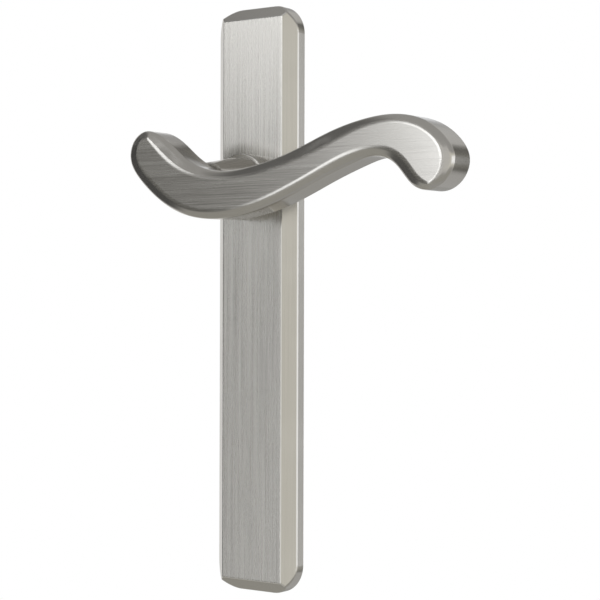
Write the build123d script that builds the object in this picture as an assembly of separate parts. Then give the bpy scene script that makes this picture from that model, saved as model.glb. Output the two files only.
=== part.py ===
"""Lever door handle on a long bevelled escutcheon plate, with its spring cage and spindle.

Millimetres.  The origin is on the spindle axis, in the plane of the door's face.
+Z is up, +X points along the grip, +Y goes into the door, so the plate's front faces -Y.
Depths below are distances in front of the door's face, so a depth of 8 is y = -8.
"""
from build123d import *
import math
import os

# escutcheon plate
PLATE_HEIGHT = 228.6
PLATE_WIDTH = 38.4
PLATE_DEPTH = 8.4
PLATE_CENTRE_Z = -43.6
CORNER_RADIUS = 11.3
SIDE_RUN = 4.9
SIDE_DROP = 4.2
END_RUN = 4.7
END_DROP = 4.4
CREASE_ROUND = 1.0
WALL = 1.6
RIB_THICKNESS = 1.2
RIB_PITCH = 25.0
RIB_COUNT = 4
RIB_REAR = 3.0

# lever, as seen from the front: x and z of its edges, from the left tip over the top and back
BEVEL_EDGE = [(-19.1, 20.0), (-12.0, 16.8), (-3.0, 9.8), (6.5, 5.1), (17.0, 3.5), (29.9, 4.9),
              (45.9, 8.9), (63.7, 15.5), (77.9, 19.0), (90.0, 20.0), (101.5, 17.8),
              (110.5, 11.9), (114.6, 4.6), (112.0, -2.8), (104.4, -6.5), (98.9, -5.2),
              (94.2, -0.7), (89.7, 3.8), (83.0, 5.9), (74.1, 4.1), (59.7, -1.2), (44.1, -7.7),
              (28.0, -12.4), (12.0, -14.0), (-2.0, -12.1), (-13.2, -7.1), (-23.3, 0.9),
              (-29.2, 10.5), (-26.9, 17.2)]
FACE_TOP = [(-18.6, 17.6), (-13.0, 11.9), (-6.5, 6.9), (2.0, 3.2), (14.0, 1.1), (28.0, 1.2),
            (44.0, 4.3), (62.0, 9.9), (78.0, 16.0), (88.0, 17.6), (97.5, 16.6),
            (106.0, 12.6), (111.0, 5.2), (109.6, -2.0), (105.6, -4.8)]
FACE_BOTTOM = [(105.6, -4.8), (100.6, -1.4), (96.4, 3.6), (90.5, 7.6), (83.0, 8.6),
               (74.0, 7.4), (60.0, 2.0), (45.0, -4.2), (30.0, -9.0), (15.0, -11.2),
               (2.0, -10.0), (-9.0, -5.0), (-18.5, 2.5), (-24.0, 10.2), (-22.6, 15.8),
               (-18.6, 17.6)]
LEVER_FRONT = 49.0
LEVER_BEVEL = 1.6
LEVER_THICKNESS = 13.4
LEVER_BACK_ROUND = 1.2

# neck of the lever and the collar it turns in
NECK_BASE_RADIUS = 11.6
NECK_MID_RADIUS = 9.7
NECK_END_RADIUS = 7.8
NECK_ROOT_RADIUS = 6.6
NECK_END = 37.5
NECK_ROOT = 43.0
COLLAR_FRONT = 16.0
COLLAR_RADIUS = 12.8
COLLAR_FRONT_RADIUS = 12.9
COLLAR_BORE = 9.2
COLLAR_SPIGOT = 10.6
COLLAR_ROUND = 0.5
JOURNAL_RADIUS = 8.0
NECK_GAP = 0.2
RUNNING_GAP = 0.05
THRUST_WASHER_RADIUS = 9.9
THRUST_RECESS = 0.6
THRUST_WASHER = 0.75

# tail of the lever: two flats that drive the cam
FLAT_HALF = 6.4
TAIL_END = -1.4
GROOVE_FRONT = 0.9
GROOVE_REAR = -0.1
GROOVE_RADIUS = 7.1

# square spindle
SPINDLE_SIZE = 7.9
SPINDLE_SOCKET = 8.0
SPINDLE_SOCKET_DEPTH = 26.0
SPINDLE_FRONT = 25.5
SPINDLE_REACH = 19.0
SPINDLE_TIP = 1.0
SPINDLE_PIN_DEPTH = 11.5
SPINDLE_PIN_RADIUS = 1.25
SPINDLE_PIN_LENGTH = 15.6

# spring cage behind the front wall
CAGE_RADIUS = 13.5
CAGE_SHEET = 0.6
CAGE_HOLE = 8.6
CAGE_FRONT = PLATE_DEPTH - WALL
CAGE_REAR = 2.2
COVER_THICKNESS = 0.8
COVER_REAR = CAGE_REAR - COVER_THICKNESS
EAR_CENTRE = 18.6
EAR_RADIUS = 3.8
CAM_FRONT = 3.7
CAM_REAR = 2.4
CAM_RADIUS = 10.6
LUG_RADIUS = 12.5
LUG_FRONT = 5.9
LUG_HALF_ANGLE = 9.0
SPRING_LUG_ANGLE = 90.0
STOP_LUG_ANGLE = 270.0
LEVER_TRAVEL = 40.0
PIN_CIRCLE = 11.75
PIN_RADIUS = 0.9
PIN_GAP_ANGLE = 0.5
ANCHOR_ANGLE = 15.0
SPRING_WIRE = 0.8
SPRING_RADIUS = 9.7
SPRING_FRONT = 5.75
SPRING_PITCH = 0.85

# fasteners
CAGE_SCREW_RADIUS = 1.2
CAGE_SCREW_LENGTH = 4.6
CAGE_SCREW_HEAD = 2.6
CAGE_SCREW_HEAD_HEIGHT = 1.2
CAGE_SCREW_SLOT = 0.6
CAGE_BOSS_RADIUS = 2.9
POST_SPACING = 190.5
POST_RADIUS = 3.0
POST_ROOT_RADIUS = 3.2
POST_THREAD_RADIUS = 1.65
POST_THREAD_DEPTH = 16.0
POST_REACH = 20.0
POST_SEAT = 6.0
POST_BOSS_RADIUS = 5.6
POST_BOSS_REAR = 1.6
RING_RADIUS = 10.2
RING_GAP_ANGLE = 28.0
CONE_WASHER_RADIUS = 10.6
CONE_WASHER_BORE = 8.3
CONE_WASHER_SHEET = 0.25


def front_plane(depth):
    """Plane parallel to the door at a depth in front of its face; it extrudes away from the door."""
    return Plane.XZ.offset(depth)


def disc(radius, front, rear, x=0, z=0):
    """Solid cylinder about the spindle direction between two depths."""
    shape = extrude(front_plane(rear) * Circle(radius), front - rear)
    return Pos(x, 0, z) * shape


def ring(outer, inner, front, rear):
    """Flat ring about the spindle axis."""
    return disc(outer, front, rear) - disc(inner, front + 1, rear - 1)


def polar(radius, angle):
    """x and z of a point on a circle about the spindle axis, from +X towards +Z."""
    return radius * math.cos(math.radians(angle)), radius * math.sin(math.radians(angle))


def inset_bevel(run, drop, wall):
    """Run and drop of the same bevel after every face moves inwards by the wall."""
    turn = math.atan2(run, drop)
    new_run = run - wall + wall * math.tan((math.pi / 2 - turn) / 2)
    new_drop = drop - wall + wall * math.tan(turn / 2)
    return new_run, new_drop


def bevelled_block(width, height, corner, depth, side, end):
    """Rounded rectangle whose front has two long side bevels and a bevel at each end."""
    side_run, side_drop = side
    end_run, end_drop = end
    half_w, half_h = width / 2, height / 2
    outline = extrude(Plane.XZ * RectangleRounded(width, height, corner), depth)
    across = Polyline((-half_w, 0), (half_w, 0), (half_w, side_drop - depth),
                      (half_w - side_run, -depth), (side_run - half_w, -depth),
                      (-half_w, side_drop - depth), close=True)
    along = Polyline((0, -half_h), (0, half_h), (end_drop - depth, half_h),
                     (-depth, half_h - end_run), (-depth, end_run - half_h),
                     (end_drop - depth, -half_h), close=True)
    across_solid = extrude(Plane.XY * make_face(across), height, both=True)
    along_solid = extrude(Plane.YZ * make_face(along), width, both=True)
    return outline & across_solid & along_solid


def soft_creases(block):
    """Every edge of the block except those that meet the door."""
    return block.edges().filter_by(lambda edge: edge.center().Y < -CREASE_ROUND)


def escutcheon():
    """Cast plate: bevelled front, hollow back, screw and post bosses, ribs and the collar's hole."""
    shell = bevelled_block(PLATE_WIDTH, PLATE_HEIGHT, CORNER_RADIUS, PLATE_DEPTH,
                           (SIDE_RUN, SIDE_DROP), (END_RUN, END_DROP))
    shell = fillet(soft_creases(shell), CREASE_ROUND)
    hollow = bevelled_block(PLATE_WIDTH - 2 * WALL, PLATE_HEIGHT - 2 * WALL,
                            CORNER_RADIUS - WALL, PLATE_DEPTH - WALL,
                            inset_bevel(SIDE_RUN, SIDE_DROP, WALL),
                            inset_bevel(END_RUN, END_DROP, WALL))
    plate = Pos(0, 0, PLATE_CENTRE_Z) * (shell - hollow)
    inner_front = PLATE_DEPTH - WALL / 2
    rib_top = -EAR_CENTRE - RIB_PITCH
    for index in range(RIB_COUNT):
        rib_z = rib_top - index * RIB_PITCH
        rib_height = inner_front - RIB_REAR
        rib = Box(PLATE_WIDTH - WALL, rib_height, RIB_THICKNESS)
        rib = Pos(0, -(inner_front + RIB_REAR) / 2, rib_z) * rib
        plate += rib & (Pos(0, 0, PLATE_CENTRE_Z) * hollow_fill())
    for post_z in post_heights():
        plate += disc(POST_BOSS_RADIUS, inner_front, POST_BOSS_REAR, z=post_z)
        plate -= disc(POST_ROOT_RADIUS, POST_SEAT, 0, z=post_z)
    for ear_z in (EAR_CENTRE, -EAR_CENTRE):
        plate += disc(CAGE_BOSS_RADIUS, inner_front, CAGE_REAR, z=ear_z)
        plate -= disc(CAGE_SCREW_RADIUS, CAGE_REAR + CAGE_SCREW_LENGTH - COVER_THICKNESS, 0, z=ear_z)
    plate -= disc(COLLAR_SPIGOT, PLATE_DEPTH + 1, 0)
    return plate


def hollow_fill():
    """Space that ribs may fill: a little larger than the hollow, inside the outer skin."""
    half_wall = WALL / 2
    return bevelled_block(PLATE_WIDTH - WALL, PLATE_HEIGHT - WALL, CORNER_RADIUS - half_wall,
                          PLATE_DEPTH - half_wall, inset_bevel(SIDE_RUN, SIDE_DROP, half_wall),
                          inset_bevel(END_RUN, END_DROP, half_wall))


def post_heights():
    """Heights of the two mounting posts."""
    return (PLATE_CENTRE_Z + POST_SPACING / 2, PLATE_CENTRE_Z - POST_SPACING / 2)


def lever_outline():
    """Outer edge of the lever's bevel, smooth all the way round."""
    return make_face(Spline(*BEVEL_EDGE, periodic=True))


def face_outline():
    """Edge of the lever's flat front, with a sharp point at each tip."""
    return make_face([Spline(*FACE_TOP), Spline(*FACE_BOTTOM)])


def lever_bar():
    """S-shaped bar: a straight-sided body with a rounded back and a bevelled front."""
    bevel_depth = LEVER_FRONT - LEVER_BEVEL
    back_depth = LEVER_FRONT - LEVER_THICKNESS
    body = extrude(front_plane(back_depth) * lever_outline(), bevel_depth - back_depth)
    back_edges = body.faces().sort_by(Axis.Y)[-1].edges()
    body = fillet(back_edges, LEVER_BACK_ROUND)
    outer = front_plane(bevel_depth) * lever_outline()
    inner = front_plane(LEVER_FRONT) * face_outline()
    bevel = loft([outer, inner], ruled=True)
    return body + bevel


def neck():
    """Flared neck, its shoulder, and the journal with two flats and a ring groove."""
    shoulder = COLLAR_FRONT + NECK_GAP
    middle = (shoulder + NECK_END) / 2
    flare = Spline((NECK_BASE_RADIUS, -shoulder), (NECK_MID_RADIUS, -middle),
                   (NECK_END_RADIUS, -NECK_END))
    sides = Polyline((NECK_END_RADIUS, -NECK_END), (NECK_ROOT_RADIUS, -NECK_ROOT),
                     (0, -NECK_ROOT), (0, -shoulder), (NECK_BASE_RADIUS, -shoulder))
    flared = revolve(Plane.XY * make_face([flare, sides]), Axis.Y)
    tail = disc(JOURNAL_RADIUS, shoulder, TAIL_END)
    flats = Box(2 * FLAT_HALF, CAM_FRONT - TAIL_END, 2 * JOURNAL_RADIUS)
    flats = Pos(0, -(CAM_FRONT + TAIL_END) / 2, 0) * flats
    tail = tail & (disc(JOURNAL_RADIUS, shoulder, CAM_FRONT) + flats)
    tail -= ring(JOURNAL_RADIUS + 1, GROOVE_RADIUS, GROOVE_FRONT, GROOVE_REAR)
    return flared + tail


def lever_handle():
    """Lever bar and neck in one casting, with the square socket and the pin's cross hole."""
    handle = lever_bar() + neck()
    socket = extrude(front_plane(TAIL_END - 1) * Rectangle(SPINDLE_SOCKET, SPINDLE_SOCKET),
                     SPINDLE_SOCKET_DEPTH - TAIL_END + 1)
    cross = Pos(0, -SPINDLE_PIN_DEPTH, 0) * Cylinder(SPINDLE_PIN_RADIUS, 2 * JOURNAL_RADIUS + 2)
    return handle - socket - cross


def spindle():
    """Square bar with chamfered ends and a cross hole for its pin."""
    length = SPINDLE_FRONT + SPINDLE_REACH
    bar = Box(SPINDLE_SIZE, length, SPINDLE_SIZE)
    bar = Pos(0, (SPINDLE_REACH - SPINDLE_FRONT) / 2, 0) * bar
    ends = bar.faces().sort_by(Axis.Y)
    bar = chamfer(ends[0].edges() + ends[-1].edges(), SPINDLE_TIP)
    cross = Pos(0, -SPINDLE_PIN_DEPTH, 0) * Cylinder(SPINDLE_PIN_RADIUS, 2 * SPINDLE_SIZE)
    return bar - cross


def spindle_pin():
    """Spring pin through the journal and the spindle, slit along its length."""
    pin = Cylinder(SPINDLE_PIN_RADIUS, SPINDLE_PIN_LENGTH)
    pin -= Cylinder(SPINDLE_PIN_RADIUS / 2, SPINDLE_PIN_LENGTH)
    slit = Pos(SPINDLE_PIN_RADIUS, 0, 0) * Box(2 * SPINDLE_PIN_RADIUS, SPINDLE_PIN_RADIUS / 3,
                                               SPINDLE_PIN_LENGTH)
    return Pos(0, -SPINDLE_PIN_DEPTH, 0) * (pin - slit)


def trim_collar():
    """Turned collar: a slight taper, a rounded lip, a washer recess and a spigot in the plate."""
    profile = Polyline((COLLAR_RADIUS, -PLATE_DEPTH), (COLLAR_FRONT_RADIUS, -COLLAR_FRONT),
                       (THRUST_WASHER_RADIUS, -COLLAR_FRONT),
                       (THRUST_WASHER_RADIUS, THRUST_RECESS - COLLAR_FRONT),
                       (COLLAR_BORE, THRUST_RECESS - COLLAR_FRONT),
                       (COLLAR_BORE, -CAGE_FRONT), (COLLAR_SPIGOT, -CAGE_FRONT),
                       (COLLAR_SPIGOT, -PLATE_DEPTH), close=True)
    collar = revolve(Plane.XY * make_face(profile), Axis.Y)
    lip = collar.edges().filter_by(GeomType.CIRCLE).filter_by(
        lambda edge: abs(edge.radius - COLLAR_FRONT_RADIUS) < 0.01)
    return fillet(lip, COLLAR_ROUND)


def bearing_bush():
    """Plain nylon sleeve that the journal turns in."""
    return ring(COLLAR_BORE, JOURNAL_RADIUS + RUNNING_GAP, COLLAR_FRONT - THRUST_RECESS, CAGE_FRONT)


def thrust_washer():
    """Thin washer under the lever's shoulder."""
    rear = COLLAR_FRONT - THRUST_RECESS
    return ring(THRUST_WASHER_RADIUS, JOURNAL_RADIUS + RUNNING_GAP, rear + THRUST_WASHER, rear)


def spring_cage():
    """Pressed cup that holds the spring, with a hole for the journal."""
    cup = disc(CAGE_RADIUS, CAGE_FRONT, CAGE_REAR)
    cup -= disc(CAGE_RADIUS - CAGE_SHEET, CAGE_FRONT - CAGE_SHEET, CAGE_REAR - 1)
    return cup - disc(CAGE_HOLE, CAGE_FRONT + 1, CAGE_REAR)


def cage_cover():
    """Sheet cover with an ear above and below for its screws."""
    cover = disc(CAGE_RADIUS, CAGE_REAR, COVER_REAR)
    strap = Box(2 * EAR_RADIUS, COVER_THICKNESS, 2 * EAR_CENTRE)
    cover += Pos(0, -(CAGE_REAR + COVER_REAR) / 2, 0) * strap
    for ear_z in (EAR_CENTRE, -EAR_CENTRE):
        cover += disc(EAR_RADIUS, CAGE_REAR, COVER_REAR, z=ear_z)
        cover -= disc(CAGE_SCREW_RADIUS, CAGE_REAR + 1, COVER_REAR - 1, z=ear_z)
    return cover - disc(CAGE_HOLE, CAGE_REAR + 1, COVER_REAR - 1)


def cam_lug(angle):
    """Lug at the rim of the cam that reaches forward past the spring."""
    wedge = Polyline((0, 0), polar(2 * LUG_RADIUS, angle - LUG_HALF_ANGLE),
                     polar(2 * LUG_RADIUS, angle + LUG_HALF_ANGLE), close=True)
    wedge = extrude(front_plane(CAM_REAR) * make_face(wedge), LUG_FRONT - CAM_REAR)
    arm = ring(LUG_RADIUS, JOURNAL_RADIUS + 1, CAM_FRONT, CAM_REAR)
    rim = ring(LUG_RADIUS, CAM_RADIUS, LUG_FRONT, CAM_REAR)
    return wedge & (arm + rim)


def drive_cam():
    """Cam driven by the lever's flats, with one lug for the spring and one for the stops."""
    cam = disc(CAM_RADIUS, CAM_FRONT, CAM_REAR)
    cam += cam_lug(SPRING_LUG_ANGLE)
    cam += cam_lug(STOP_LUG_ANGLE)
    hole = Box(2 * FLAT_HALF, 2 * LUG_FRONT, 2 * JOURNAL_RADIUS + 2)
    return cam - (disc(JOURNAL_RADIUS, CAM_FRONT + 1, CAM_REAR - 1) & hole)


def cage_pin(angle):
    """Small pin from the cage's floor to its cover."""
    x, z = polar(PIN_CIRCLE, angle)
    return disc(PIN_RADIUS, CAGE_FRONT - CAGE_SHEET, CAGE_REAR, x, z)


def stop_pins():
    """Two pins that stop the cam's lower lug at rest and at the end of its travel."""
    pin_angle = math.degrees(PIN_RADIUS / PIN_CIRCLE)
    reach = LUG_HALF_ANGLE + pin_angle + PIN_GAP_ANGLE
    rest_pin = cage_pin(STOP_LUG_ANGLE + reach)
    travel_pin = cage_pin(STOP_LUG_ANGLE - LEVER_TRAVEL - reach)
    return Compound(children=[rest_pin, travel_pin])


def spring_leg(angle, depth):
    """Straight leg of the spring, from its coil out past the pin circle, with a rounded root."""
    inner_x, inner_z = polar(SPRING_RADIUS, angle)
    outer_x, outer_z = polar(PIN_CIRCLE + PIN_RADIUS / 2, angle)
    root = Vector(inner_x, -depth, inner_z)
    run = Vector(outer_x, -depth, outer_z) - root
    leg = extrude(Plane(origin=root, z_dir=run) * Circle(SPRING_WIRE / 2), run.length)
    return leg + Pos(*root) * Sphere(SPRING_WIRE / 2)


def return_spring():
    """Torsion spring: nearly two turns of round wire, one leg on its pin and one on the cam's lug."""
    wire_angle = math.degrees(SPRING_WIRE / 2 / PIN_CIRCLE)
    pin_angle = math.degrees(PIN_RADIUS / PIN_CIRCLE)
    moving = SPRING_LUG_ANGLE - LUG_HALF_ANGLE - wire_angle - PIN_GAP_ANGLE
    fixed = ANCHOR_ANGLE + pin_angle + wire_angle + PIN_GAP_ANGLE
    turns = (fixed - moving) / 360 + 2
    helix = Helix(SPRING_PITCH, SPRING_PITCH * turns, SPRING_RADIUS)
    section = Plane(origin=helix @ 0, z_dir=helix % 0) * Circle(SPRING_WIRE / 2)
    coil = Rot(-90, 0, 0) * sweep(section, path=helix, is_frenet=True)
    coil = Pos(0, -SPRING_FRONT, 0) * Rot(0, -fixed, 0) * coil
    rear = SPRING_FRONT - SPRING_PITCH * turns
    return coil + spring_leg(fixed, SPRING_FRONT) + spring_leg(moving, rear)


def spring_anchor_pin():
    """Pin that holds the spring's fixed leg."""
    return cage_pin(ANCHOR_ANGLE)


def retaining_ring():
    """Open ring in the journal's groove."""
    clip = ring(RING_RADIUS, GROOVE_RADIUS, GROOVE_FRONT, GROOVE_REAR)
    gap = Polyline((0, 0), polar(2 * RING_RADIUS, -90 - RING_GAP_ANGLE / 2),
                   polar(2 * RING_RADIUS, -90 + RING_GAP_ANGLE / 2), close=True)
    return clip - extrude(front_plane(GROOVE_REAR - 1) * make_face(gap), 3)


def cone_washer():
    """Conical spring washer that takes up the end play between the cover and the ring."""
    bore_rear = GROOVE_FRONT + RUNNING_GAP
    profile = Polyline((CONE_WASHER_BORE, -bore_rear - CONE_WASHER_SHEET),
                       (CONE_WASHER_BORE, -bore_rear),
                       (CONE_WASHER_RADIUS, CONE_WASHER_SHEET - COVER_REAR),
                       (CONE_WASHER_RADIUS, -COVER_REAR), close=True)
    return revolve(Plane.XY * make_face(profile), Axis.Y)


def cage_screws():
    """Two slotted screws through the cover's ears."""
    screws = []
    for ear_z in (EAR_CENTRE, -EAR_CENTRE):
        shank = disc(CAGE_SCREW_RADIUS, COVER_REAR + CAGE_SCREW_LENGTH, COVER_REAR, z=ear_z)
        head = disc(CAGE_SCREW_HEAD, COVER_REAR, COVER_REAR - CAGE_SCREW_HEAD_HEIGHT, z=ear_z)
        slot = Box(2 * CAGE_SCREW_HEAD, CAGE_SCREW_SLOT, CAGE_SCREW_SLOT)
        slot_y = CAGE_SCREW_HEAD_HEIGHT - COVER_REAR - CAGE_SCREW_SLOT / 2
        screws.append(shank + head - Pos(0, slot_y, ear_z) * slot)
    return Compound(children=screws)


def mounting_post(post_z):
    """Threaded post that takes the screw from the inner side of the door."""
    post = disc(POST_RADIUS, POST_SEAT, -POST_REACH, z=post_z)
    post += disc(POST_ROOT_RADIUS, POST_SEAT, 0, z=post_z)
    return post - disc(POST_THREAD_RADIUS, POST_THREAD_DEPTH - POST_REACH, -POST_REACH - 1, z=post_z)


def main():
    """Build every piece and write one STEP file for each."""
    os.makedirs("parts", exist_ok=True)
    upper_z, lower_z = post_heights()
    nodes = {
        "escutcheon": escutcheon(),
        "lever_handle": lever_handle(),
        "trim_collar": trim_collar(),
        "bearing_bush": bearing_bush(),
        "thrust_washer": thrust_washer(),
        "spindle": spindle(),
        "spindle_pin": spindle_pin(),
        "spring_cage": spring_cage(),
        "cage_cover": cage_cover(),
        "drive_cam": drive_cam(),
        "stop_pins": stop_pins(),
        "spring_anchor_pin": spring_anchor_pin(),
        "return_spring": return_spring(),
        "retaining_ring": retaining_ring(),
        "cone_washer": cone_washer(),
        "cage_screws": cage_screws(),
        "mounting_post_upper": mounting_post(upper_z),
        "mounting_post_lower": mounting_post(lower_z),
    }
    for name, shape in nodes.items():
        export_step(shape, f"parts/{name}.step")


main()
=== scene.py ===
"""Looks of a lever door handle on a long bevelled plate, in satin nickel.

The plate is brushed upright and the lever along its grip.  Metres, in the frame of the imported
model: +Z up, +X along the grip, the door's face at y = 0, the front towards -Y, the origin on
the spindle axis.
"""
import math

import bmesh
import bpy
import numpy as np
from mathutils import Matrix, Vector


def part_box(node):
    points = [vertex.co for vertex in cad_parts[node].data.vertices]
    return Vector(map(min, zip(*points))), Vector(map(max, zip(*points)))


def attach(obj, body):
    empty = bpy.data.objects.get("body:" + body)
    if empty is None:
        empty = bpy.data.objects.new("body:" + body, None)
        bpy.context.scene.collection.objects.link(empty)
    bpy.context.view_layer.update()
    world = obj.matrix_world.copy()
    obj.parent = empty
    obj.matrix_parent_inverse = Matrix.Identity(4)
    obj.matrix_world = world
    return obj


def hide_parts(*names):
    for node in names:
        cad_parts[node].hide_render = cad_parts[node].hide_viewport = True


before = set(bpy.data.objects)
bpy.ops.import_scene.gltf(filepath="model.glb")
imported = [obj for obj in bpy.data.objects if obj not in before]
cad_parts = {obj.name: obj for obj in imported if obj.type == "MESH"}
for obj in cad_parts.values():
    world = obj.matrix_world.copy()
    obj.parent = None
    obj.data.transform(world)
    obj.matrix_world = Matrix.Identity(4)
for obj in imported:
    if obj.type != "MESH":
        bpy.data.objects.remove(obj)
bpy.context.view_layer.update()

MM = 0.001

# camera: its angle in degrees to the right of the plate's own axis, and its framing
VIEW_AZIMUTH = 36.0
VIEW_DISTANCE = 679.5 * MM
VIEW_RIGHT = 13.97 * MM
VIEW_UP = 0.24 * MM
VIEW_ROLL = -0.0028
VIEW_SHIFT_Y = -0.0017
LENS = 103.44

# lever's outlines: how near a plane a point counts as in it, the grid in metres on which points are
# matched, the spacing of a curve's samples, the stations round the bar, and the least turn in
# degrees of a sharp corner
ON_PLANE = 0.001 * MM
GRID = 1e-7
FINE_STEP = 0.02 * MM
STATIONS = 440
CORNER_TURN = 20.0

# an outline moved inwards crosses itself at a sharp corner: how far from the corner, in moves,
# that is looked for and compared with the outline, and the share of a move that is clear of it
CROSSED_REACH = 6.0
COMPARED_REACH = 8.0
CLEAR_SHARE = 0.995

# lever's section: its bevel and thickness are those of the CAD lever.  The crease and the shoulder
# are rounded by a length, or by a share of the bevel's width where that is less
LEVER_BEVEL = 1.6 * MM
LEVER_THICKNESS = 13.4 * MM
CREASE_ROUND = 1.0 * MM
CREASE_SHARE = 0.34
SHOULDER_ROUND = 2.2 * MM
SHOULDER_SHARE = 0.35
BACK_ROUND = 1.2 * MM
CREASE_STEPS = 6
SHOULDER_STEPS = 8
BACK_STEPS = 6

# joint of bar and neck: the neck is cut a little behind the bar and a tapered plug runs on into it.
# Points nearer than WELD are merged, and an edge is shaded sharp from this angle in degrees
NECK_CLEAR = 0.1 * MM
NECK_PLUG = 3.0 * MM
NECK_PLUG_TAPER = 0.8
WELD = 0.002 * MM
SHARP_ANGLE = 32.0

# nickel: base colours, with a painted highlight for the plate's creases and a cast back darkened
# partly as painted shade, the cast back's grain, and how rough each kind of surface is
NICKEL_DARK = (0.53, 0.512, 0.476, 1)
NICKEL_LIGHT = (0.70, 0.68, 0.635, 1)
NICKEL_EDGE_DARK = (0.58, 0.558, 0.516, 1)
NICKEL_EDGE_LIGHT = (0.645, 0.622, 0.577, 1)
# painted highlight: the colour that the plate's creases are lightened to
NICKEL_CREASE_HIGHLIGHT = (0.95, 0.93, 0.89, 1)
# the cast back: rough cast grain, its darker colour partly painted shade on the sides facing the
# door
CAST_SHADE_DARK = (0.36, 0.35, 0.325, 1)
CAST_SHADE_LIGHT = (0.50, 0.485, 0.45, 1)
CAST_GRAIN = 0.8 * MM
CAST_BUMP = 4.0
CAST_ROUGHNESS = 0.25
EDGE_ROUGHNESS = 0.15
EDGE_GROOVES = 0.15
STROKE_ROUGHNESS = 0.05
TARNISH_ROUGHNESS = 0.03
TARNISH_CELLS = 28
GROOVE_DEPTH = 0.006 * MM
BRUSH_ANISOTROPY = 0.9

# nickel's surfaces are told apart by their normal's Y, which is -1 on the front: flat from FLAT on,
# an edge below TILTED, and a crease painted lighter as a highlight from the first range to the
# second
FLAT = 0.985
TILTED = 0.93
CREASE_BEGINS = (-0.985, -0.96)
CREASE_ENDS = (-0.86, -0.80)

# brush strokes: width and share of each of three layers.  Along the piece they fade by FADED_SHARE
# to FADED_TONE
WIDE_STREAK, WIDE_SHARE = 1.1 * MM, 0.21
FINE_LINE, FINE_SHARE = 0.32 * MM, 0.49
SCRATCH, SCRATCH_SHARE = 0.16 * MM, 0.30
FADED_SHARE = 0.7
FADED_TONE = 0.55

# turned metal: rings and patches in cells per metre, how far its roughness varies, the rings'
# strength, and its anisotropy
RING_CELLS = 2600
PATCH_CELLS = 180
RING_ROUGHNESS = 0.04
RING_BUMP = 0.6
TURNED_ANISOTROPY = 0.7

# clouded metal: cells of cloud to one of grain, dark specks, how far its roughness varies, and its
# grain's strength
CLOUD_SHARE = 0.12
SPECK_RANGE = (0.62, 0.72)
SPECK_STRENGTH = 0.5
GRAIN_ROUGHNESS = 0.07
GRAIN_BUMP = 0.8

# nylon: colours, cells per metre, range of roughness, and its grain's strength and depth
NYLON_DARK = (0.70, 0.68, 0.62, 1)
NYLON_LIGHT = (0.80, 0.79, 0.75, 1)
NYLON_CLOUD_CELLS = 300
NYLON_GRAIN_CELLS = 3000
NYLON_ROUGHNESS = (0.38, 0.52)
NYLON_BUMP = 0.5
NYLON_DEPTH = 0.01 * MM
NYLON_IOR = 1.53

# parts of the noise's range that a tone is spread over
NARROW = (0.35, 0.65)
WIDE = (0.3, 0.7)

# panels of the studio, painted one over another: azimuth from the front towards +X, elevation,
# half width, half height and soft edge in degrees, then brightness and tint
PLAIN = (1.0, 1.0, 1.0)
WARM = (1.0, 0.99, 0.93)
COOL = (0.98, 1.0, 1.04)
AMBIENT = 0.42
PANELS = [
    ("below", 0, -48, 180, 20, 8, 0.40, WARM),
    ("above_left", -80, 34, 30, 16, 8, 0.15, PLAIN),
    ("left_dark", -67, 0, 29, 26, 4, 0.08, PLAIN),
    ("left_rise", -49, -5, 11, 20, 6, 0.15, WARM),
    ("left_light", -120, 0, 24, 30, 4, 0.90, PLAIN),
    ("right_low", 85, 0, 66, 22, 6, 0.75, WARM),
    ("right_strip", 102, 0, 40, 12, 6, 1.35, COOL),
    ("behind_high", 166, 42, 30, 14, 2, 0.60, PLAIN),
    ("behind_low", 165, -36, 34, 15, 2, 0.50, PLAIN),
    ("behind_right", 157, 4, 14, 26, 2, 0.15, WARM),
    ("behind_left", -156, 8, 14, 12, 4, 1.05, COOL),
    ("key", -21, 2, 12, 26, 2, 0.15, WARM),
    ("front", 7, 2, 17, 26, 2, 0.65, PLAIN),
    ("key_low", -10, -10, 22, 8, 5, 0.65, PLAIN),
    ("key_top", -21, 13, 12, 7, 4, 3.7, COOL),
    ("key_side", -27, 2, 4.5, 24, 2, 2.0, COOL),
    ("left_glow", -48, 12, 14, 4, 3, 0.65, PLAIN),
]

# floor: metres under the plate's lower end, its size and colours, and its own faint glow
FLOOR_DROP = 0.30
FLOOR_RADIUS = 0.80
FLOOR_SIDES = 96
FLOOR_DARK = (0.88, 0.88, 0.87, 1)
FLOOR_LIGHT = (0.92, 0.92, 0.91, 1)
FLOOR_CELLS = 9
FLOOR_ROUGHNESS = (0.65, 0.75)
FLOOR_GLOW = 0.35
FLOOR_GLOW_TINT = (1.0, 1.0, 0.99, 1)


# ---------------------------------------------------------------- outlines read from the frame

def edges_on_plane(mesh, y, side):
    """Edges in the plane at y of the triangles whose third corner lies on one side of it."""
    edges = set()
    for face in mesh.polygons:
        corners = [mesh.vertices[i].co for i in face.vertices]
        inside = [c for c in corners if abs(c.y - y) < ON_PLANE]
        others = [c for c in corners if (c.y - y) * side > ON_PLANE]
        if len(inside) == 2 and others:
            edges.add(tuple(sorted((round(c.x / GRID), round(c.z / GRID)) for c in inside)))
    return edges


def chain(edges):
    """The edges as one closed loop of points, x and z in metres, anticlockwise from the front."""
    neighbours = {}
    for a, b in edges:
        if a != b:
            neighbours.setdefault(a, []).append(b)
            neighbours.setdefault(b, []).append(a)
    loop = [min(neighbours)]
    previous, current = None, loop[0]
    while True:
        following = [k for k in neighbours[current] if k != previous]
        previous, current = current, following[0]
        if current == loop[0]:
            break
        loop.append(current)
    points = np.array(loop, float) * GRID
    x, z = points.T
    area = np.sum(x * np.roll(z, -1) - np.roll(x, -1) * z)
    return points if area > 0 else points[::-1]


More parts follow.
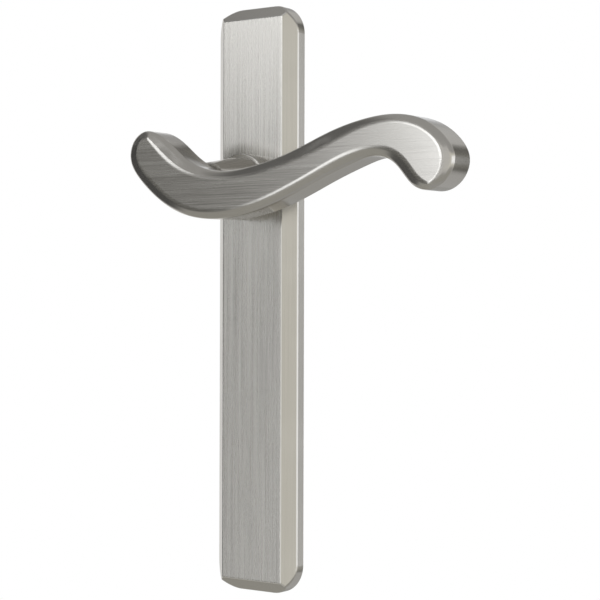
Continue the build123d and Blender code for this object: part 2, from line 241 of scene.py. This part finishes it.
def smooth_run(points, closed):
    """Cubic curve through the points, sampled every FINE_STEP."""
    wide = np.concatenate([points[-1:], points, points[:2]]) if closed else points
    gaps = np.linalg.norm(np.diff(wide, axis=0), axis=1)[:, None]
    slopes = np.diff(wide, axis=0) / gaps
    inner = (slopes[:-1] * gaps[1:] + slopes[1:] * gaps[:-1]) / (gaps[:-1] + gaps[1:])
    if closed:
        starts, stops, gaps = wide[1:-2], wide[2:-1], gaps[1:-1]
        out, into = inner[:-1], inner[1:]
    else:
        first = 2 * slopes[:1] - inner[:1]
        last = 2 * slopes[-1:] - inner[-1:]
        tangents = np.concatenate([first, inner, last])
        starts, stops, out, into = wide[:-1], wide[1:], tangents[:-1], tangents[1:]
    samples = []
    for a, b, ta, tb, gap in zip(starts, stops, out, into, gaps[:, 0]):
        count = max(2, int(math.ceil(gap / FINE_STEP)))
        t = (np.arange(count) / count)[:, None]
        samples.append((2 * t**3 - 3 * t**2 + 1) * a + (t**3 - 2 * t**2 + t) * ta * gap
                       + (3 * t**2 - 2 * t**3) * b + (t**3 - t**2) * tb * gap)
    if not closed:
        samples.append(wide[-1:])
    return np.concatenate(samples)


def smooth_loop(points):
    """The closed loop, finely sampled, with its sharp corners kept, and those corners."""
    steps = np.roll(points, -1, 0) - points
    heading = np.degrees(np.arctan2(steps[:, 1], steps[:, 0]))
    turn = (heading - np.roll(heading, 1) + 180) % 360 - 180
    corners = [i for i in range(len(points)) if turn[i] > CORNER_TURN]
    if not corners:
        return smooth_run(points, True), points[:0]
    points = np.roll(points, -corners[0], 0)
    stops = [c - corners[0] for c in corners] + [len(points)]
    points = np.concatenate([points, points[:1]])
    runs = [smooth_run(points[a:b + 1], False)[:-1] for a, b in zip(stops, stops[1:])]
    return np.concatenate(runs), points[stops[:-1]]


def evenly(loop, count):
    """The closed loop at equal steps along its length."""
    closed = np.concatenate([loop, loop[:1]])
    along = np.concatenate([[0], np.cumsum(np.linalg.norm(np.diff(closed, axis=0), axis=1))])
    places = np.arange(count) * along[-1] / count
    return np.stack([np.interp(places, along, closed[:, k]) for k in range(2)], axis=1)


def inward_normals(loop):
    """Unit normals of an anticlockwise loop, towards its inside."""
    steps = np.roll(loop, -1, 0) - np.roll(loop, 1, 0)
    steps /= np.linalg.norm(steps, axis=1)[:, None]
    return np.stack([-steps[:, 1], steps[:, 0]], axis=1)


def nearest(loop, points):
    """For each point, the nearest sample of the loop."""
    found = [loop[np.argmin(np.sum((loop - p) ** 2, axis=1))] for p in points]
    return np.array(found)


def inset(loop, corners, distance):
    """The loop moved inwards, its crossed ends at sharp corners cut away."""
    moved = loop + inward_normals(loop) * distance
    clear = np.ones(len(moved), bool)
    for corner in corners:
        close = np.linalg.norm(moved - corner, axis=1) < CROSSED_REACH * distance
        near = loop[np.linalg.norm(loop - corner, axis=1) < COMPARED_REACH * distance]
        gaps = [np.min(np.sum((near - p) ** 2, axis=1)) for p in moved[close]]
        clear[close] = np.array(gaps) > (CLEAR_SHARE * distance) ** 2
    return moved[clear]


# ---------------------------------------------------------------- lever casting

def arc(start, corner, stop, steps):
    """Points of the arc that rounds a corner, for rows of starts, corners and stops."""
    one = (start - corner) / np.linalg.norm(start - corner, axis=1)[:, None]
    two = (stop - corner) / np.linalg.norm(stop - corner, axis=1)[:, None]
    cosine = np.clip(np.sum(one * two, axis=1), -1, 1)
    weight = np.sqrt((1 - cosine) / 2)[:, None]
    rows = []
    for k in range(steps + 1):
        t = k / steps
        a, b, c = (1 - t) ** 2, 2 * t * (1 - t) * weight, t ** 2
        rows.append((a * start + b * corner + c * stop) / (a + b + c))
    return rows


def lever_bar(cad):
    """Closed mesh of the S-shaped bar, from the outlines of the CAD lever."""
    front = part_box("lever_handle")[0].y
    shoulder, back = front + LEVER_BEVEL, front + LEVER_THICKNESS
    face, tips = smooth_loop(chain(edges_on_plane(cad, front, 1)))
    outline, _ = smooth_loop(chain(edges_on_plane(cad, shoulder, -1)))
    edge = evenly(outline, STATIONS)
    inwards = inward_normals(edge)
    crease = nearest(face, edge)
    core = nearest(inset(face, tips, CREASE_ROUND), crease)

    def at(points, y):
        """Points of an outline, put at y."""
        return np.stack([points[:, 0], np.full(len(points), y), points[:, 1]], axis=1)

    p_crease, p_edge, p_back = at(crease, front), at(edge, shoulder), at(edge, back)
    length = np.linalg.norm(p_edge - p_crease, axis=1)[:, None]
    slope = (p_edge - p_crease) / length
    after_crease = slope * np.minimum(CREASE_ROUND, CREASE_SHARE * length)
    shoulder_round = np.minimum(SHOULDER_ROUND, SHOULDER_SHARE * length)
    rings = arc(at(core, front), p_crease, p_crease + after_crease, CREASE_STEPS)
    rings += arc(p_edge - slope * shoulder_round, p_edge,
                 p_edge + [0, 1, 0] * shoulder_round, SHOULDER_STEPS)
    rings += arc(p_back - [0, BACK_ROUND, 0], p_back,
                 at(edge + inwards * BACK_ROUND, back), BACK_STEPS)
    return ring_mesh(rings)


def ring_mesh(rings):
    """Mesh of quads between closed rings of points, with a flat cap at each end."""
    mesh = bmesh.new()
    rows = [[mesh.verts.new(p) for p in ring] for ring in rings]
    count = len(rows[0])
    for upper, lower in zip(rows, rows[1:]):
        for i in range(count):
            j = (i + 1) % count
            mesh.faces.new((upper[i], lower[i], lower[j], upper[j]))
    bmesh.ops.remove_doubles(mesh, verts=mesh.verts, dist=WELD)
    bmesh.ops.edgeloop_fill(mesh, edges=[e for e in mesh.edges if e.is_boundary])
    bmesh.ops.recalc_face_normals(mesh, faces=mesh.faces)
    return mesh


def casting_rear(cad, cut_y):
    """The CAD lever behind its bar: neck, journal and tail, with a plug that runs into the bar."""
    mesh = bmesh.new()
    mesh.from_mesh(cad)
    bmesh.ops.remove_doubles(mesh, verts=mesh.verts, dist=WELD)
    whole = mesh.verts[:] + mesh.edges[:] + mesh.faces[:]
    bmesh.ops.bisect_plane(mesh, geom=whole, plane_co=(0, cut_y, 0), plane_no=(0, -1, 0),
                           clear_outer=True)
    rim = [e for e in mesh.edges if e.is_boundary]
    cap = bmesh.ops.edgeloop_fill(mesh, edges=rim)["faces"]
    plug = bmesh.ops.extrude_face_region(mesh, geom=cap)["geom"]
    for corner in plug:
        if isinstance(corner, bmesh.types.BMVert):
            corner.co.x *= NECK_PLUG_TAPER
            corner.co.y -= NECK_PLUG
            corner.co.z *= NECK_PLUG_TAPER
    bmesh.ops.delete(mesh, geom=cap, context='FACES_ONLY')
    bmesh.ops.recalc_face_normals(mesh, faces=mesh.faces)
    return mesh


def add_piece(name, mesh):
    """Object made from a bmesh, which is freed."""
    data = bpy.data.meshes.new(name)
    mesh.to_mesh(data)
    mesh.free()
    piece = bpy.data.objects.new(name, data)
    bpy.context.scene.collection.objects.link(piece)
    return piece


def lever_casting():
    """Bar, neck and tail joined into one mesh, shaded smooth between its creases."""
    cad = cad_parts["lever_handle"].data
    piece = add_piece("lever_casting", lever_bar(cad))
    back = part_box("lever_handle")[0].y + LEVER_THICKNESS
    rear = add_piece("casting_rear", casting_rear(cad, back + NECK_CLEAR))
    join = piece.modifiers.new("join", 'BOOLEAN')
    join.operation = 'UNION'
    join.solver = 'EXACT'
    join.object = rear
    graph = bpy.context.evaluated_depsgraph_get()
    piece.data = bpy.data.meshes.new_from_object(piece.evaluated_get(graph))
    piece.modifiers.clear()
    bpy.data.objects.remove(rear)
    piece.data.shade_smooth()
    piece.data.set_sharp_from_angle(angle=math.radians(SHARP_ANGLE))
    even = piece.modifiers.new("even_shading", 'WEIGHTED_NORMAL')
    even.keep_sharp = True
    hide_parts("lever_handle")
    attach(piece, "lever")
    return piece


# ---------------------------------------------------------------- node trees

def node(tree, kind, values=None, **settings):
    """New node.  Values go to its inputs by name or number, and a socket is linked."""
    made = tree.nodes.new(kind)
    for name, value in settings.items():
        setattr(made, name, value)
    for key, value in (values or {}).items():
        if isinstance(value, bpy.types.NodeSocket):
            tree.links.new(value, made.inputs[key])
        else:
            made.inputs[key].default_value = value
    return made


def math_node(tree, operation, *values):
    """Result of a math node."""
    return node(tree, "ShaderNodeMath", dict(enumerate(values)), operation=operation).outputs[0]


def vector_node(tree, operation, *values, output="Vector"):
    """Result of a vector math node."""
    return node(tree, "ShaderNodeVectorMath", dict(enumerate(values)),
                operation=operation).outputs[output]


def weighted(tree, *parts):
    """Sum of values, each times its weight."""
    products = [math_node(tree, 'MULTIPLY', value, weight) for value, weight in parts]
    total = products[0]
    for product in products[1:]:
        total = math_node(tree, 'ADD', total, product)
    return total


def ramp(tree, value, start, stop, low=0.0, high=1.0):
    """Smooth step of a value between two limits, from low to high."""
    values = {"Value": value, "From Min": start, "From Max": stop, "To Min": low, "To Max": high}
    made = node(tree, "ShaderNodeMapRange", values, interpolation_type='SMOOTHSTEP')
    return made.outputs["Result"]


def mix_value(tree, factor, one, two):
    """Number between two others."""
    return node(tree, "ShaderNodeMix", {"Factor": factor, 2: one, 3: two},
                data_type='FLOAT').outputs[0]


def mix_vector(tree, factor, one, two):
    """Vector between two others."""
    return node(tree, "ShaderNodeMix", {"Factor": factor, 4: one, 5: two},
                data_type='VECTOR').outputs[1]


def mix_colour(tree, factor, one, two, label=""):
    """Colour between two others."""
    return node(tree, "ShaderNodeMix", {"Factor": factor, 6: one, 7: two},
                data_type='RGBA', label=label).outputs[2]


def noise(tree, place, cells, detail, seed):
    """Noise from 0 to 1 in stretched coordinates: one density for each axis, in cells per metre."""
    stretched = node(tree, "ShaderNodeMapping", {"Vector": place, "Scale": cells,
                                                 "Location": (seed, 2 * seed, 3 * seed)})
    values = {"Vector": stretched.outputs[0], "Scale": 1.0, "Detail": detail, "Roughness": 0.6}
    return node(tree, "ShaderNodeTexNoise", values).outputs["Fac"]


def even_noise(tree, place, cells, detail, seed):
    """Noise from 0 to 1 with the same number of cells per metre all ways."""
    return noise(tree, place, (cells, cells, cells), detail, seed)


# ---------------------------------------------------------------- materials

def new_material(name, metallic, anisotropic=0.0):
    """Material, its tree, its shader and the piece's own coordinates."""
    material = bpy.data.materials.new(name)
    material.use_nodes = True
    tree = material.node_tree
    shader = tree.nodes["Principled BSDF"]
    shader.inputs["Metallic"].default_value = metallic
    shader.inputs["Anisotropic"].default_value = anisotropic
    return material, tree, shader, node(tree, "ShaderNodeTexCoord").outputs["Object"]


def link_surface(tree, shader, colour, roughness, height, strength, depth):
    """Links a shader's colour and roughness, and bumps it by a height times a depth."""
    tree.links.new(colour, shader.inputs["Base Color"])
    tree.links.new(roughness, shader.inputs["Roughness"])
    bump = node(tree, "ShaderNodeBump", {"Height": height, "Strength": strength,
                                         "Distance": depth})
    tree.links.new(bump.outputs[0], shader.inputs["Normal"])


def rough_across(tree, shader, strokes):
    """Turns the shader's anisotropy so that it blurs reflections across the strokes."""
    strokes = node(tree, "ShaderNodeVectorTransform", {0: strokes}, vector_type='VECTOR',
                   convert_from='OBJECT', convert_to='WORLD').outputs[0]
    normal = node(tree, "ShaderNodeNewGeometry").outputs["Normal"]
    tree.links.new(vector_node(tree, 'CROSS_PRODUCT', normal, strokes), shader.inputs["Tangent"])


def brush_strokes(tree, place, brush, lengths, seed):
    """Streaks of three widths along the brush's axis, from 0 to 1."""
    long, short = lengths

    def layer(length, width, shift):
        """Streaks of one length and width."""
        cells = [1 / length if axis else 1 / width for axis in brush]
        return noise(tree, place, cells, 3.0, seed + shift)

    return weighted(tree, (layer(2.0 * long, WIDE_STREAK, 3.0), WIDE_SHARE),
                    (layer(long, FINE_LINE, 0.0), FINE_SHARE),
                    (layer(short, SCRATCH, 7.0), SCRATCH_SHARE))


def stroke_tone(tree, place, brush, strokes, spread, fading):
    """Lightness of the strokes, from 0 to 1; they fade over a stretch of the brush's axis."""
    along = vector_node(tree, 'DOT_PRODUCT', place, brush, output="Value")
    tone = ramp(tree, strokes, 0.5 - spread, 0.5 + spread)
    return mix_value(tree, ramp(tree, along, *fading, 0.0, FADED_SHARE), tone, FADED_TONE)


def nickel_colour(tree, front, broad, back, tone, tarnish, grain, crease_highlight):
    """Nickel's colour: stroked front, faint strokes on the edges, creases lightened as a painted
    highlight, and a cast back darkened partly as painted shade.
    """
    brushed = mix_colour(tree, tone, NICKEL_DARK, NICKEL_LIGHT)
    faint = weighted(tree, (tarnish, 0.45), (tone, 0.55))
    edges = mix_colour(tree, faint, NICKEL_EDGE_DARK, NICKEL_EDGE_LIGHT)
    # painted highlight: the crease between the front and its edges is lightened in colour, on the
    # plate only
    painted_highlight = math_node(tree, 'MULTIPLY', ramp(tree, front, *CREASE_BEGINS),
                        ramp(tree, front, *CREASE_ENDS, crease_highlight, 0.0))
    edges = mix_colour(tree, painted_highlight, edges, NICKEL_CREASE_HIGHLIGHT)
    mottle = ramp(tree, weighted(tree, (grain, 0.5), (tarnish, 0.25)), 0.25, 0.6)
    # cast grain, darker in part as painted shade on the sides that face the door
    cast_and_shade = mix_colour(tree, mottle, CAST_SHADE_DARK, CAST_SHADE_LIGHT)
    return mix_colour(tree, broad, mix_colour(tree, back, edges, cast_and_shade), brushed)


def brushed_nickel(name, brush, seed, spread, lengths, roughness, fading, crease_highlight):
    """Satin nickel: broad front brushed along one axis, smoother edges, a rougher cast back
    darkened partly as painted shade.
    """
    material, tree, shader, place = new_material(name, 1.0, BRUSH_ANISOTROPY)
    facing = node(tree, "ShaderNodeTexCoord").outputs["Normal"]
    front = node(tree, "ShaderNodeSeparateXYZ", {0: facing}).outputs["Y"]
    broad = ramp(tree, front, -FLAT, -TILTED, 1.0, 0.0)
    back = ramp(tree, front, TILTED, FLAT)

    strokes = brush_strokes(tree, place, brush, lengths, seed)
    tone = stroke_tone(tree, place, brush, strokes, spread, fading)
    tarnish = ramp(tree, even_noise(tree, place, TARNISH_CELLS, 3.0, seed + 13.0), *NARROW)
    grain = even_noise(tree, place, 1 / CAST_GRAIN, 4.0, seed + 17.0)
    colour = nickel_colour(tree, front, broad, back, tone, tarnish, grain, crease_highlight)

    scratched = ramp(tree, strokes, *NARROW, -STROKE_ROUGHNESS, STROKE_ROUGHNESS)
    rough = weighted(tree, (ramp(tree, broad, 0.0, 1.0, EDGE_ROUGHNESS, roughness), 1.0),
                     (scratched, broad), (tarnish, TARNISH_ROUGHNESS), (back, CAST_ROUGHNESS))
    height = weighted(tree, (strokes, ramp(tree, broad, 0.0, 1.0, EDGE_GROOVES, 1.0)),
                      (grain, ramp(tree, back, 0.0, 1.0, 0.0, CAST_BUMP)))
    link_surface(tree, shader, colour, rough, height, 1.0, GROOVE_DEPTH)

    round_the_edge = vector_node(tree, 'CROSS_PRODUCT', facing, (0, 1, 0))
    flat = math_node(tree, 'ADD', broad, back)
    rough_across(tree, shader, mix_vector(tree, flat, round_the_edge, brush))
    return material


def turned_metal(name, dark, light, roughness, seed):
    """Metal turned on a lathe about the spindle's axis: fine rings round it."""
    material, tree, shader, place = new_material(name, 1.0, TURNED_ANISOTROPY)
    flat = vector_node(tree, 'MULTIPLY', place, (1, 0, 1))
    radius = vector_node(tree, 'LENGTH', flat, output="Value")
    depth = node(tree, "ShaderNodeSeparateXYZ", {0: place}).outputs["Y"]
    across = node(tree, "ShaderNodeCombineXYZ", {0: radius, 1: depth}).outputs[0]
    rings = noise(tree, across, (RING_CELLS, RING_CELLS, 1), 2.0, seed)
    patches = even_noise(tree, place, PATCH_CELLS, 3.0, seed + 5.0)
    tone = ramp(tree, weighted(tree, (rings, 0.6), (patches, 0.4)), *NARROW)
    rough = ramp(tree, rings, *WIDE, roughness - RING_ROUGHNESS, roughness + RING_ROUGHNESS)
    link_surface(tree, shader, mix_colour(tree, tone, dark, light), rough, rings, RING_BUMP,
                 GROOVE_DEPTH)
    rough_across(tree, shader, vector_node(tree, 'CROSS_PRODUCT', place, (0, 1, 0)))
    return material


def cloudy_metal(name, dark, light, roughness, cell, depth, seed):
    """Plated, pressed or sintered metal: clouded in colour, with a fine grain."""
    material, tree, shader, place = new_material(name, 1.0)
    clouds = even_noise(tree, place, CLOUD_SHARE / cell, 4.0, seed)
    grain = even_noise(tree, place, 1 / cell, 3.0, seed + 5.0)
    specks = ramp(tree, grain, *SPECK_RANGE, 0.0, SPECK_STRENGTH)
    colour = mix_colour(tree, ramp(tree, clouds, *NARROW), dark, light)
    rough = ramp(tree, grain, *WIDE, roughness - GRAIN_ROUGHNESS, roughness + GRAIN_ROUGHNESS)
    link_surface(tree, shader, mix_colour(tree, specks, colour, dark), rough, grain, GRAIN_BUMP,
                 depth)
    return material


def white_nylon():
    """Moulded nylon: milky, faintly mottled, with a soft gloss."""
    material, tree, shader, place = new_material("white_nylon", 0.0)
    clouds = even_noise(tree, place, NYLON_CLOUD_CELLS, 3.0, 31.0)
    grain = even_noise(tree, place, NYLON_GRAIN_CELLS, 2.0, 37.0)
    colour = mix_colour(tree, ramp(tree, clouds, *WIDE), NYLON_DARK, NYLON_LIGHT)
    link_surface(tree, shader, colour, ramp(tree, grain, *WIDE, *NYLON_ROUGHNESS), grain,
                 NYLON_BUMP, NYLON_DEPTH)
    shader.inputs["IOR"].default_value = NYLON_IOR
    return material


def dress(material, *names):
    """Gives a material to CAD nodes by name."""
    for name in names:
        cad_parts[name].data.materials.clear()
        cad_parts[name].data.materials.append(material)


def dress_nickel(lever):
    """Satin nickel of the lever, the plate and the collar."""
    lever.data.materials.clear()
    lever.data.materials.append(brushed_nickel(
        "lever_nickel", brush=(1, 0, 0), seed=2.0, spread=0.11, lengths=(40 * MM, 15 * MM),
        roughness=0.22, fading=(30 * MM, 90 * MM), crease_highlight=0.0))
    # the plate's creases carry the painted highlight
    dress(brushed_nickel(
        "plate_nickel", brush=(0, 0, 1), seed=1.0, spread=0.13, lengths=(80 * MM, 25 * MM),
        roughness=0.25, fading=(10 * MM, 80 * MM), crease_highlight=1.0), "escutcheon")
    dress(turned_metal("collar_nickel", NICKEL_DARK, NICKEL_LIGHT, roughness=0.26, seed=51.0),
          "trim_collar")


def dress_works():
    """Finishes of the pieces behind the plate and in the neck."""
    dress(white_nylon(), "bearing_bush", "thrust_washer")
    dress(cloudy_metal("zinc_plated", (0.52, 0.53, 0.54, 1), (0.66, 0.67, 0.67, 1),
                       roughness=0.34, cell=0.5 * MM, depth=0.01 * MM, seed=61.0),
          "spring_cage", "cage_cover", "cage_screws", "spindle", "mounting_post_upper",
          "mounting_post_lower")
    dress(turned_metal("ground_steel", (0.50, 0.50, 0.51, 1), (0.62, 0.62, 0.62, 1),
                       roughness=0.24, seed=71.0),
          "stop_pins", "spring_anchor_pin", "spindle_pin")
    dress(cloudy_metal("spring_steel", (0.16, 0.17, 0.19, 1), (0.30, 0.30, 0.31, 1),
                       roughness=0.3, cell=0.3 * MM, depth=0.006 * MM, seed=81.0),
          "return_spring", "retaining_ring", "cone_washer")
    dress(cloudy_metal("sintered_steel", (0.27, 0.26, 0.25, 1), (0.40, 0.39, 0.37, 1),
                       roughness=0.5, cell=0.25 * MM, depth=0.03 * MM, seed=91.0),
          "drive_cam")


# ---------------------------------------------------------------- studio

def panel_mask(tree, direction, elevation, azimuth, middle, half_width, half_height, soft):
    """1 inside a panel of the studio and 0 outside it, with a soft edge."""
    turned = node(tree, "ShaderNodeVectorRotate",
                  {"Vector": direction, "Angle": -math.radians(azimuth)}, rotation_type='Z_AXIS')
    flat = node(tree, "ShaderNodeSeparateXYZ", {0: turned.outputs[0]})
    away = math_node(tree, 'ARCTAN2', flat.outputs["X"],
                     math_node(tree, 'MULTIPLY', flat.outputs["Y"], -1.0))
    rise = math_node(tree, 'SUBTRACT', elevation, math.radians(middle))
    inside = [ramp(tree, math_node(tree, 'ABSOLUTE', value),
                   math.radians(half - soft), math.radians(half + soft), 1.0, 0.0)
              for value, half in ((away, half_width), (rise, half_height))]
    return math_node(tree, 'MULTIPLY', *inside)


def studio():
    """World that the metal reflects; the camera itself sees plain white."""
    world = bpy.data.worlds.new("studio")
    bpy.context.scene.world = world
    world.use_nodes = True
    tree = world.node_tree
    direction = node(tree, "ShaderNodeTexCoord").outputs["Generated"]
    height = node(tree, "ShaderNodeSeparateXYZ", {0: direction}).outputs["Z"]
    elevation = math_node(tree, 'ARCSINE', height)
    light = (AMBIENT, AMBIENT, AMBIENT, 1)
    for name, azimuth, middle, half_width, half_height, soft, bright, tint in PANELS:
        mask = panel_mask(tree, direction, elevation, azimuth, middle, half_width, half_height,
                          soft)
        colour = (*[bright * part for part in tint], 1)
        light = mix_colour(tree, mask, light, colour, label=name)
    seen = node(tree, "ShaderNodeLightPath").outputs["Is Camera Ray"]
    shown = mix_colour(tree, seen, light, (1, 1, 1, 1))
    tree.links.new(shown, tree.nodes["Background"].inputs["Color"])
    bpy.context.scene.view_settings.view_transform = 'Standard'


def floor():
    """Plain pale round floor under the object, below the camera's view."""
    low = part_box("escutcheon")[0]
    mesh = bmesh.new()
    bmesh.ops.create_circle(mesh, cap_ends=True, segments=FLOOR_SIDES, radius=FLOOR_RADIUS)
    disc = add_piece("floor", mesh)
    disc.location.z = low.z - FLOOR_DROP
    material, tree, shader, place = new_material("floor", 0.0)
    mottle = ramp(tree, even_noise(tree, place, FLOOR_CELLS, 4.0, 101.0), *WIDE)
    tree.links.new(mix_colour(tree, mottle, FLOOR_DARK, FLOOR_LIGHT), shader.inputs["Base Color"])
    tree.links.new(ramp(tree, mottle, 0.0, 1.0, *FLOOR_ROUGHNESS), shader.inputs["Roughness"])
    shader.inputs["Emission Color"].default_value = FLOOR_GLOW_TINT
    shader.inputs["Emission Strength"].default_value = FLOOR_GLOW
    disc.data.materials.append(material)
    disc.visible_glossy = False


def camera():
    """Camera to the right of the plate's own axis, level with its middle."""
    turn = math.radians(VIEW_AZIMUTH)
    low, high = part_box("escutcheon")
    centre = (low + high) / 2
    target = Vector((centre.x, 0, centre.z))
    forward = Vector((-math.sin(turn), math.cos(turn), 0))
    right = Vector((math.cos(turn), math.sin(turn), 0))
    data = bpy.data.cameras.new("camera")
    data.lens = LENS
    data.shift_y = VIEW_SHIFT_Y
    view = bpy.data.objects.new("camera", data)
    view.location = target - forward * VIEW_DISTANCE + right * VIEW_RIGHT + Vector((0, 0, VIEW_UP))
    view.rotation_mode = 'XYZ'
    view.rotation_euler = (math.pi / 2, VIEW_ROLL, turn)
    bpy.context.scene.collection.objects.link(view)
    bpy.context.scene.camera = view


camera()
studio()
floor()
dress_nickel(lever_casting())
dress_works()
